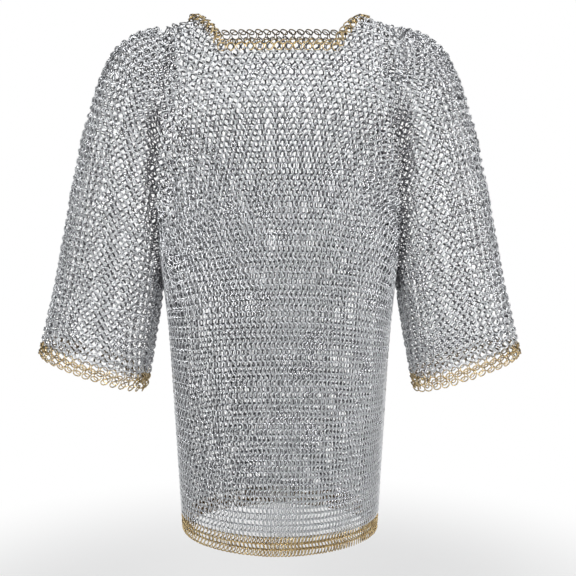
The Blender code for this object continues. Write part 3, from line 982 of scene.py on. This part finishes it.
@dataclass
class NodeBench:
    """Where the nodes of one material or world are added and joined."""

    tree: bpy.types.NodeTree

    def feed(self, socket: bpy.types.NodeSocket, source: object) -> None:
        """Gives a socket a value, or joins it to the socket that feeds it.

        Args:
            socket: The socket.
            source: The value or the other socket.
        """
        if isinstance(source, bpy.types.NodeSocket):
            self.tree.links.new(source, socket)
        else:
            socket.default_value = source

    def add(self, kind: str, inputs: dict[str | int, object] | None = None, **settings: object) -> bpy.types.Node:
        """Adds a node.

        Args:
            kind: Its type.
            inputs: What feeds its inputs: values or sockets.
            settings: Its other settings.

        Returns:
            The node.
        """
        made = self.tree.nodes.new(kind)
        for name, value in settings.items():
            setattr(made, name, value)
        for name, source in (inputs or {}).items():
            self.feed(made.inputs[name], source)
        return made

    def math(self, operation: str, first: object, second: object) -> bpy.types.NodeSocket:
        """The result of an operation on two numbers or sockets."""
        return self.add("ShaderNodeMath", {0: first, 1: second}, operation=operation).outputs[0]

    def noise(self, scale: float, detail: float) -> bpy.types.NodeSocket:
        """Noise at a scale, fixed to the piece."""
        place = self.add("ShaderNodeTexCoord").outputs["Object"]
        return self.add("ShaderNodeTexNoise", {"Scale": scale, "Detail": detail, "Vector": place}).outputs["Fac"]

    def spread(self, source: object, ends: tuple[float, float, float, float], **settings: str) -> bpy.types.NodeSocket:
        """Maps the first two of four numbers to the last two."""
        names = ("From Min", "From Max", "To Min", "To Max")
        return self.add("ShaderNodeMapRange", {"Value": source, **dict(zip(names, ends))}, **settings).outputs["Result"]

    def mixed(self, share: bpy.types.NodeSocket, low: object, high: object) -> bpy.types.NodeSocket:
        """Mixes two colours or sockets.

        Args:
            share: How much of the second one there is.
            low: The first one.
            high: The second one.

        Returns:
            The mixed colour's socket.
        """
        ends = [(*end, 1.0) if isinstance(end, tuple) else end for end in (low, high)]
        inputs = {"Factor": share, "A": ends[0], "B": ends[1]}
        return self.add("ShaderNodeMix", inputs, data_type="RGBA").outputs["Result"]


@dataclass(frozen=True)
class WireFinish:
    """Drawn wire: a bright metal with small stains and draw marks, and painted shade: a dark colour on the side of each
    ring that faces into the shirt and on rings in the armhole's crease.
    """

    name: str
    bright: tuple[float, float, float]
    dull: tuple[float, float, float]
    stain: tuple[float, float, float]
    # painted shade: the dark colour given to the inner side of each ring and to rings in the armhole's crease
    inner: tuple[float, float, float]
    smooth: float
    rough: float
    stain_start: float
    stain_blend: float = 0.16
    stain_noise: tuple[float, float] = (900.0, 4.0)
    cloud_noise: tuple[float, float] = (28.0, 3.0)
    cloud_range: tuple[float, float] = (0.3, 0.7)
    mark_noise: tuple[float, float] = (2600.0, 2.0)
    mark_height: float = 0.0001
    mark_strength: float = 0.12
    # painted shade: the facing values over which the colour turns from the dark painted shade to the metal's own colour
    painted_shade_turn: tuple[float, float] = (-0.60, 0.20)

    def material(self) -> bpy.types.Material:
        """Builds the finish as a material.

        Returns:
            The material.
        """
        made = bpy.data.materials.new(self.name)
        made.use_nodes = True
        bench = NodeBench(made.node_tree)
        one_ring = bench.add("ShaderNodeNewGeometry").outputs["Random Per Island"]
        speck = bench.noise(*self.stain_noise)
        blotch = bench.spread(speck, (self.stain_start, self.stain_start + self.stain_blend, 0.0, 1.0))
        worn = bench.mixed(blotch, bench.mixed(one_ring, self.bright, self.dull), self.stain)
        # painted shade: the attribute is low on the inner side of each ring and in the armhole's crease, where the
        # colour turns to the dark painted shade colour
        turned = bench.add("ShaderNodeAttribute", attribute_name=PAINTED_SHADE_FACING).outputs["Fac"]
        outer = bench.spread(turned, (*self.painted_shade_turn, 0.0, 1.0))
        marks = bench.noise(*self.mark_noise)
        bump = {"Strength": self.mark_strength, "Distance": self.mark_height, "Height": marks}
        cloud = bench.noise(*self.cloud_noise)
        shader = made.node_tree.nodes["Principled BSDF"]
        for name, source in (
            ("Metallic", 1.0),
            ("Base Color", bench.mixed(outer, self.inner, worn)),
            ("Roughness", bench.spread(cloud, (*self.cloud_range, self.smooth, self.rough))),
            ("Normal", bench.add("ShaderNodeBump", bump).outputs["Normal"]),
        ):
            bench.feed(shader.inputs[name], source)
        return made


# each finish's inner colour is painted shade, not a colour of the wire
FINISHES = {
    Metal.STEEL: WireFinish(
        name="bright_steel_wire",
        bright=(0.82, 0.83, 0.85),
        dull=(0.70, 0.71, 0.73),
        stain=(0.30, 0.30, 0.31),
        inner=(0.10, 0.10, 0.11),
        smooth=0.24,
        rough=0.36,
        stain_start=0.62,
    ),
    Metal.BRASS: WireFinish(
        name="dulled_brass_wire",
        bright=(0.86, 0.68, 0.38),
        dull=(0.58, 0.42, 0.21),
        stain=(0.10, 0.065, 0.025),
        inner=(0.08, 0.05, 0.022),
        smooth=0.20,
        rough=0.36,
        stain_start=0.52,
    ),
}


def put_in_scene(name: str, data: bpy.types.ID) -> bpy.types.Object:
    """A new object of the scene that holds a mesh, a lamp's or a camera's data."""
    made = bpy.data.objects.new(name, data)
    bpy.context.scene.collection.objects.link(made)
    return made


@dataclass
class MailMaker:
    """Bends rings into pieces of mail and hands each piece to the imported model."""

    stock: RingStock
    weave: Weave
    jitter: float = 0.00008
    wobble: float = 0.022
    # painted shade: how strongly the armhole's crease lowers the facing value, which darkens those rings
    crease_shade_strength: float = 1.8
    metals: dict[Metal, bpy.types.Material] = field(default_factory=dict)
    made: int = 0

    def dress(self) -> None:
        """Builds the finishes once."""
        self.metals = {metal: finish.material() for metal, finish in FINISHES.items()}

    def frames(self, rings: Rings, chance: np.random.Generator) -> np.ndarray:
        """How each ring stands: leaned by its row, a little unevenly, with its joint at any turn.

        Args:
            rings: The rings.
            chance: Where the random draws come from.

        Returns:
            Each ring's three axes, the last one along its hole.
        """
        leans = self.weave.leans(rings.pitch, rings.step, self.stock.outer_diameter)
        turned = np.where(rings.parity > 0, 1.0, -1.0)
        along = unit(np.cross(rings.out, rings.down))
        a, b = (lean * turned + chance.normal(0.0, self.wobble, len(rings)) for lean in leans)
        normal = unit(rings.out + along * a[:, None] + rings.down * b[:, None])
        first = unit(np.cross(normal, rings.down))
        second = np.cross(normal, first)
        spin = chance.uniform(0.0, FULL_TURN, len(rings))[:, None]
        first, second = first * np.cos(spin) + second * np.sin(spin), second * np.cos(spin) - first * np.sin(spin)
        return np.stack([first, second, normal], axis=1)

    def mesh(self, name: str, rings: Rings) -> bpy.types.Mesh:
        """Places a copy of the ring at every centre.

        Args:
            name: The mesh's name.
            rings: Where the rings are and how they lie.

        Returns:
            One mesh that holds them all.
        """
        chance = np.random.default_rng(sum(ord(letter) * (k + 1) for k, letter in enumerate(name)))
        count = len(rings)
        corners, facing, faces = self.stock.template()
        frames = self.frames(rings, chance)
        centre = rings.centre + chance.normal(0.0, self.jitter, (count, 3))
        points = np.einsum("vk,nkx->nvx", corners, frames) + centre[:, None]
        size = len(corners)
        all_faces = (faces[None] + (np.arange(count) * size)[:, None, None]).reshape(-1, 4)
        mesh = bpy.data.meshes.new(name)
        mesh.vertices.add(count * size)
        mesh.vertices.foreach_set("co", points.ravel())
        mesh.loops.add(len(all_faces) * 4)
        mesh.loops.foreach_set("vertex_index", all_faces.ravel())
        mesh.polygons.add(len(all_faces))
        mesh.polygons.foreach_set("loop_start", np.arange(len(all_faces)) * 4)
        mesh.polygons.foreach_set("use_smooth", np.ones(len(all_faces), bool))
        # painted shade: how far each corner faces out of the shirt, lowered for rings in the armhole's crease; low
        # values get the dark painted shade colour
        painted_shade_facing = np.einsum("vk,nkx,nx->nv", facing, frames, rings.out)
        painted_shade_facing -= self.crease_shade_strength * rings.crease_shade[:, None]
        wear = mesh.attributes.new(PAINTED_SHADE_FACING, "FLOAT", "POINT")
        wear.data.foreach_set("value", painted_shade_facing.ravel().astype(np.float32))
        mesh.update(calc_edges=True)
        return mesh

    def piece(self, name: str, rings: Rings, metal: Metal, nodes: tuple[str, ...]) -> bpy.types.Object:
        """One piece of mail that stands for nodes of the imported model.

        Args:
            name: The piece's name.
            rings: Its rings.
            metal: Its wire.
            nodes: The nodes that it replaces.

        Returns:
            The piece.
        """
        mesh = self.mesh(name, rings)
        mesh.materials.append(self.metals[metal])
        made = put_in_scene(name, mesh)
        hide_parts(*nodes)
        self.made += len(rings)
        LOG.info("%s: %d rings, %d faces", name, len(rings), len(mesh.polygons))
        return made


@dataclass
class Body:
    """The body of the shirt: yokes, straps, chest, back, waist, skirt, and the brass at its neck and hem."""

    form: TorsoForm
    sleeve: SleeveForm
    weave: Weave
    yoke_depth: float = 0.120
    waist_top_depth: float = 0.440
    waist_end_depth: float = 0.580
    waist_sway_end: float = 0.508
    strap_edge: float = 0.100
    side_panel_edge: float = 0.118
    neck_share: float = 0.76
    armhole_size: float = 0.97
    # painted shade: the width beside the armhole over which body rings are darkened
    crease_width: float = 0.20
    brass_hem_rows: int = 3
    seam_margin: float = 0.0030

    def rings(self, face: Face) -> Rings:
        """The rings of one sheet, without those that the neck or an armhole leaves out.

        Args:
            face: Which sheet.

        Returns:
            The rings.
        """
        rings = BodyNet(self.weave, form=self.form).rings(face)
        depth = -rings.centre[:, 2]
        out = np.abs(rings.centre[:, 0])
        kept = ~self.form.in_neck(rings.centre, self.neck_share)
        kept &= (out < self.form.seam_half_width - self.seam_margin) | (depth > self.form.upper_depth)
        share, size = self.sleeve.place_in(rings.centre)
        beyond = out > self.strap_edge
        kept &= ~((size < self.armhole_size) & (share < self.sleeve.elbow_start) & beyond)
        # painted shade: body rings near the armhole are marked for darkening in the crease
        near = ramp(size, self.armhole_size + self.crease_width, -self.crease_width) * beyond
        return replace(rings, crease_shade=near * self.form.crease_shade_by_depth(depth)).where(kept)

    def build(self, maker: MailMaker) -> None:
        """Builds every piece of the body.

        Args:
            maker: What bends the rings.
        """
        skins = {face: self.form.skin(face) for face in Face}
        self.build_neck(maker, NeckNet(self.form, self.weave).rings(skins))
        for face in Face:
            self.build_sheet(maker, face, self.rings(face))

    def build_neck(self, maker: MailMaker, rings: Rings) -> None:
        """The neck's brass rows, as a front, a back and two sides.

        Args:
            maker: What bends the rings.
            rings: The neck's rings.
        """
        x, y = rings.centre[:, 0], rings.centre[:, 1]
        middle = np.abs(x) < self.form.neck_front_half_width
        for name, kept in (
            ("neck_trim_front", middle & (y < 0.0)),
            ("neck_trim_back", middle & (y >= 0.0)),
            ("neck_trim_left", ~middle & (x > 0.0)),
            ("neck_trim_right", ~middle & (x < 0.0)),
        ):
            piece = maker.piece(name + "_rings", rings.where(kept), Metal.BRASS, (name,))
            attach(piece, "torso")

    def build_sheet(self, maker: MailMaker, face: Face, rings: Rings) -> None:
        """The front or the back, from the yoke to the hem.

        Args:
            maker: What bends the rings.
            face: Which sheet.
            rings: Its rings.
        """
        x = rings.centre[:, 0]
        depth = -rings.centre[:, 2]
        word = face.word
        hem = rings.row < self.brass_hem_rows
        yoke = depth < self.yoke_depth
        upper = ~yoke & (depth < self.form.upper_depth)
        below = ~yoke & ~upper & (depth < self.waist_top_depth)
        waist = (depth >= self.waist_top_depth) & (depth < self.waist_end_depth)
        skirt = (depth >= self.waist_end_depth) & ~hem
        strap = np.abs(x) > self.strap_edge
        flank = np.abs(x) > self.side_panel_edge
        upper_name = "chest_panel" if face is Face.FRONT else "upper_back_panel"
        fixed = [
            (word + "_yoke", yoke & ~strap, word + "_yoke", "torso"),
            (upper_name, upper, upper_name, "torso"),
            (word + "_body_panel", below & ~flank, word + "_body_panel", "torso"),
            (word + "_skirt_panel", skirt & ~flank, word + "_skirt_panel", "skirt"),
        ]
        for side in Side:
            for part, kept, body in (
                ("_shoulder_strap", yoke & strap, "torso"),
                ("_side_panel", below & flank, "torso"),
                ("_skirt_side", skirt & flank, "skirt"),
            ):
                fixed.append((side.word + part + "_" + word, kept & (x * side.sign > 0.0), side.word + part, body))
        for name, kept, node, body in fixed:
            piece = maker.piece(name + "_rings", rings.where(kept), Metal.STEEL, (node,))
            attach(piece, body)
        trim = maker.piece(word + "_hem_trim_rings", rings.where(hem), Metal.BRASS, (word + "_hem_trim",))
        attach(trim, "skirt")
        node = "waist_band_" + word
        sway = waist & (depth < self.waist_sway_end)
        piece = maker.piece(node + "_sway_rings", rings.where(sway), Metal.STEEL, (node,))
        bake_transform(piece)
        piece = maker.piece(node + "_swing_rings", rings.where(waist & ~sway), Metal.STEEL, (node,))
        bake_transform(piece)


@dataclass
class Sleeve:
    """One sleeve, from the armhole band to the brass rows of its cuff."""

    form: SleeveForm
    torso: TorsoForm
    weave: Weave
    side: Side
    brass_cuff_rows: int = 4
    armhole_gap: float = 0.0005
    # painted shade: distances from the body within which sleeve rings are darkened in the crease
    crease_gaps: tuple[float, float] = (0.007, 0.014)
    armhole_start: float = 0.196
    armhole_way: tuple[float, float] = (0.094, -0.034)

    def middle_at(self, share: float) -> tuple[float, float, float]:
        """The middle of the sleeve's section.

        Args:
            share: Where, as a share of the sleeve's length.

        Returns:
            The point.
        """
        top, under, _, back = self.form.section(np.array(share))
        x, z = (top + under) / 2.0
        return (float(x) * self.side.sign, float(back), float(z))

    def build(self, maker: MailMaker) -> None:
        """Builds every piece of the sleeve.

        Args:
            maker: What bends the rings.
        """
        rings = SleeveNet(self.weave, form=self.form).rings(self.side)
        # painted shade: sleeve rings close to the body are marked for darkening in the crease
        near = sum(self.torso.inside(rings.centre, gap) * 0.5 for gap in self.crease_gaps)
        rings = replace(rings, crease_shade=near * self.torso.crease_shade_by_depth(-rings.centre[:, 2]))
        rings = rings.where(~self.torso.inside(rings.centre, self.armhole_gap))
        share, _ = self.form.place_in(rings.centre)
        cuff = rings.row < self.brass_cuff_rows
        share = np.where(rings.row == 0, 1.0, share)
        upper, lower = self.side.word + "_upper_sleeve", self.side.word + "_lower_sleeve"
        band = share < self.form.armhole_end
        elbow = (share >= self.form.elbow_start) & (share < self.form.elbow_end)
        arm = ~band & (share < self.form.elbow_start)
        forearm = (share >= self.form.elbow_end) & ~cuff
        for face in Face:
            there = (rings.centre[:, 1] < 0.0) == (face is Face.FRONT)
            for part, kept, metal, body in (
                ("upper_sleeve", arm, Metal.STEEL, upper),
                ("lower_sleeve", forearm, Metal.STEEL, lower),
                ("cuff_trim", cuff, Metal.BRASS, lower),
            ):
                piece = self.piece(maker, part, face, rings.where(kept & there), metal)
                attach(piece, body)
            piece = self.piece(maker, "armhole_band", face, rings.where(band & there), Metal.STEEL)
            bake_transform(piece)
            piece = self.piece(maker, "elbow_band", face, rings.where(elbow & there), Metal.STEEL)
            self.middle_at(self.form.elbow_start)
            self.middle_at(self.form.elbow_end)
            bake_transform(piece)

    def piece(self, maker: MailMaker, part: str, face: Face, rings: Rings, metal: Metal) -> bpy.types.Object:
        """The front or the back of one part of the sleeve."""
        node = "_".join((self.side.word, part, face.word))
        return maker.piece(node + "_rings", rings, metal, (node,))


@dataclass(frozen=True)
class Lamp:
    """A soft square lamp: where it stands, how wide it is and how strong."""

    name: str
    place: tuple[float, float, float]
    size: float
    power: float

    def build(self, target: tuple[float, float, float]) -> None:
        """Builds the lamp, out of the camera's sight.

        Args:
            target: The point that it is turned to.
        """
        data = bpy.data.lights.new(self.name, "AREA")
        data.size = self.size
        data.energy = self.power
        lamp = put_in_scene(self.name, data)
        lamp.location = self.place
        lamp.rotation_euler = (Vector(target) - Vector(self.place)).to_track_quat("-Z", "Y").to_euler()
        lamp.visible_camera = False


@dataclass
class Studio:
    """The pale floor, the soft lamps, the even surroundings and the camera."""

    camera_place: tuple[float, float, float] = (0.0127, -1.32, -0.2626)
    downward_degrees: float = 6.18
    focal_pixels: float = 870.4
    image_pixels: float = 576.0
    sensor_width: float = 36.0
    floor_height: float = -1.05
    floor_size: float = 16.0
    floor_grey: float = 0.80
    floor_roughness: float = 0.8
    shadow_reach: float = 0.55
    floor_glow: float = 0.62
    room_colour: tuple[float, float, float] = (0.90, 0.95, 1.0)
    room_light: float = 0.10
    backdrop_turn: tuple[float, float] = (0.80, 0.97)
    lamp_target: tuple[float, float, float] = (0.0, 0.0, -0.35)
    lamps: tuple[Lamp, ...] = (
        Lamp("key_lamp", (-1.4, -1.9, 1.1), 1.1, 43.0),
        Lamp("fill_lamp", (1.9, -1.5, 0.4), 1.1, 32.0),
        Lamp("top_lamp", (0.2, -1.2, 1.9), 1.0, 13.0),
        Lamp("rear_lamp", (0.9, 2.3, 1.0), 1.0, 14.0),
    )

    def seen_directly(self, bench: NodeBench, glossy: bool) -> bpy.types.NodeSocket:
        """A socket that is 1 for what the camera sees, also through clear things.

        Args:
            bench: Where the nodes are added.
            glossy: Whether rays that left a shiny surface count too.

        Returns:
            The socket.
        """
        rays = bench.add("ShaderNodeLightPath").outputs
        seen = bench.math("MAXIMUM", rays["Is Camera Ray"], rays["Is Transmission Ray"])
        return bench.math("MAXIMUM", seen, rays["Is Glossy Ray"]) if glossy else seen

    def pale_material(self) -> bpy.types.Material:
        """The floor's finish: pale in light and white where it is seen, with the shadow kept near the shirt.

        Returns:
            The material.
        """
        made = bpy.data.materials.new("pale_floor")
        made.use_nodes = True
        bench = NodeBench(made.node_tree)
        shader = made.node_tree.nodes["Principled BSDF"]
        shader.inputs["Base Color"].default_value = (self.floor_grey, self.floor_grey, self.floor_grey, 1.0)
        shader.inputs["Roughness"].default_value = self.floor_roughness
        place = bench.add("ShaderNodeTexCoord").outputs["Object"]
        reach = bench.add("ShaderNodeVectorMath", {0: place}, operation="LENGTH").outputs["Value"]
        ends = (self.shadow_reach, 2.0 * self.shadow_reach, self.floor_glow, 1.0)
        away = bench.spread(reach, ends, interpolation_type="SMOOTHSTEP")
        share = bench.math("MULTIPLY", self.seen_directly(bench, True), away)
        white = bench.add("ShaderNodeEmission").outputs[0]
        mix = bench.add("ShaderNodeMixShader", {0: share, 1: shader.outputs[0], 2: white})
        bench.feed(made.node_tree.nodes["Material Output"].inputs["Surface"], mix.outputs[0])
        return made

    def build_floor(self) -> None:
        """A wide plain floor below the shirt."""
        size = self.floor_size / 2.0
        mesh = bpy.data.meshes.new("studio_floor")
        corners = [(-size, -size, 0.0), (size, -size, 0.0), (size, size, 0.0), (-size, size, 0.0)]
        mesh.from_pydata(corners, [], [(0, 1, 2, 3)])
        mesh.materials.append(self.pale_material())
        floor = put_in_scene("studio_floor", mesh)
        floor.location.z = self.floor_height

    def build_surroundings(self) -> None:
        """Even surroundings that are white where they are seen straight on or mirrored behind the shirt."""
        world = bpy.data.worlds.new("studio_world")
        bpy.context.scene.world = world
        world.use_nodes = True
        world.node_tree.nodes.clear()
        bench = NodeBench(world.node_tree)
        way = bench.add("ShaderNodeTexCoord").outputs["Generated"]
        y = bench.add("ShaderNodeSeparateXYZ", {0: way}).outputs["Y"]
        behind = bench.spread(y, (*self.backdrop_turn, 0.0, 1.0), interpolation_type="SMOOTHSTEP")
        backdrop = bench.math("MULTIPLY", self.seen_directly(bench, True), behind)
        either = bench.math("MAXIMUM", self.seen_directly(bench, False), backdrop)
        soft, white = (
            bench.add("ShaderNodeBackground", {"Color": (*colour, 1.0), "Strength": strength}).outputs[0]
            for colour, strength in ((self.room_colour, self.room_light), ((1.0, 1.0, 1.0), 1.0))
        )
        mix = bench.add("ShaderNodeMixShader", {0: either, 1: soft, 2: white}).outputs[0]
        bench.add("ShaderNodeOutputWorld", {"Surface": mix})

    def build_camera(self) -> None:
        """The camera at the photograph's angle."""
        data = bpy.data.cameras.new("camera")
        data.sensor_width = self.sensor_width
        data.lens = self.focal_pixels / self.image_pixels * self.sensor_width
        camera = put_in_scene("camera", data)
        camera.location = self.camera_place
        camera.rotation_euler = (math.radians(90.0 - self.downward_degrees), 0.0, 0.0)
        bpy.context.scene.camera = camera

    def build(self) -> None:
        """Builds the whole studio."""
        self.build_floor()
        for lamp in self.lamps:
            lamp.build(self.lamp_target)
        self.build_surroundings()
        self.build_camera()
        bpy.context.scene.view_settings.view_transform = "Standard"


def main() -> None:
    """Builds the studio, the body and the sleeves."""
    logging.basicConfig(level=logging.INFO, format="%(message)s")
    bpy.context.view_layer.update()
    Studio().build()
    weave = Weave()
    torso = TorsoForm()
    sleeve = SleeveForm()
    maker = MailMaker(RingStock(), weave)
    maker.dress()
    Body(torso, sleeve, weave).build(maker)
    for side in Side:
        Sleeve(sleeve, torso, weave, side).build(maker)
    LOG.info("rings in all: %d", maker.made)


if __name__ == "__main__":
    main()
